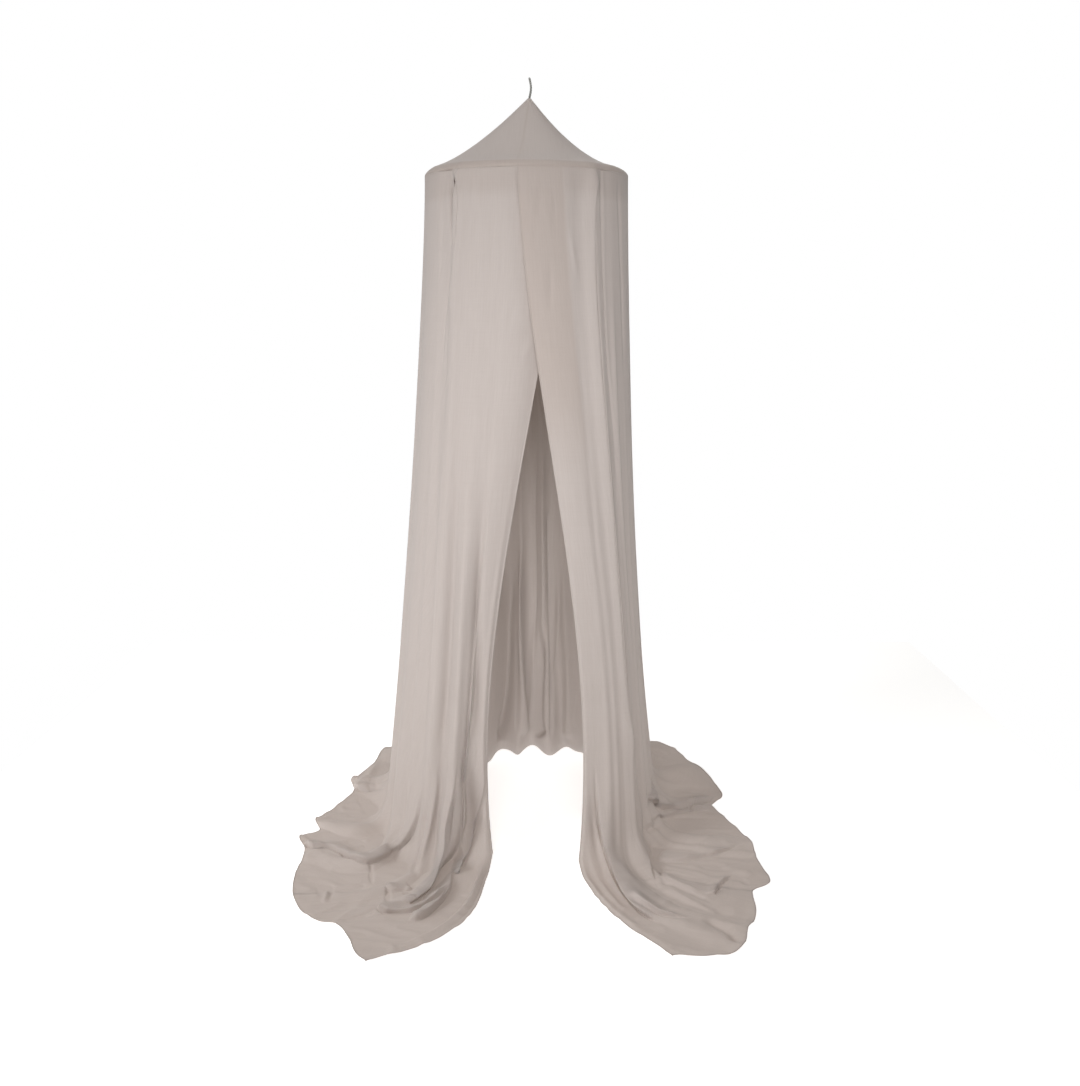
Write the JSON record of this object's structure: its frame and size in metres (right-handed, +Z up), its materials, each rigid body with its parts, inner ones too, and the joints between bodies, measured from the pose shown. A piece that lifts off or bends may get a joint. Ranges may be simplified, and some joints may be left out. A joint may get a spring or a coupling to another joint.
{
  "type": "mosquito net canopy with hoop",
  "caption": "Hanging cloth canopy with a hollow cone roof, a round hoop and a long split skirt that trails on the floor.",
  "frame": {"origin": "inside top of the hanging loop, where a ceiling hook bears", "axes": "+Z up through the loop, -Y out of the front split, +X to the right seen from the front; the floor is at z = -1.8397"},
  "size_m": [1.1251, 1.4661, 1.8446],
  "materials": {
    "muslin": "crinkled cotton muslin, fine plain weave, matte",
    "loop_cord": "twisted cotton cord, matte",
    "hoop_rod": "plain pale coating"
  },
  "bodies": {
    "root": {"hanging_loop": "loop_cord", "roof": "muslin", "hoop": "hoop_rod", "left_front_panel": "muslin", "right_front_panel": "muslin", "back_panel": "muslin"}
  },
  "joints": []
}
